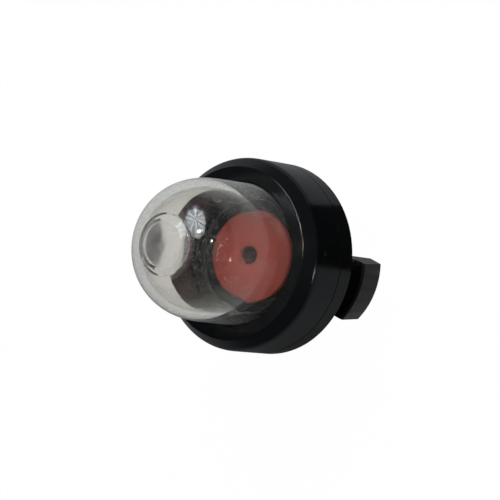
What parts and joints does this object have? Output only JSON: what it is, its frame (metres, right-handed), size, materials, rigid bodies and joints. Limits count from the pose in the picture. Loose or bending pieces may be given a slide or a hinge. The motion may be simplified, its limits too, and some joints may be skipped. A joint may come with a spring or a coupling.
{
  "type": "primer bulb",
  "caption": "Snap-in primer bulb with a clear dome, a black retaining cap, a base with snap legs and barbed hose nipples, and a red check valve.",
  "frame": {"origin": "centre of the base flange's rear face, which seats on the panel", "axes": "+Z along the bulb's axis towards the dome; +X through one snap leg; +Y towards the outlet nipple"},
  "size_m": [0.0296, 0.0296, 0.0406],
  "materials": {
    "clear_plastic": "clear flexible moulding, slightly cloudy, glossy",
    "black_plastic": "moulded black plastic, satin",
    "base_plastic": "moulded black plastic, satin",
    "red_rubber": "moulded silicone rubber, dull"
  },
  "bodies": {
    "root": {"bulb": "clear_plastic", "retainer_cap": "black_plastic", "base": "base_plastic", "check_valve": "red_rubber"}
  },
  "joints": []
}
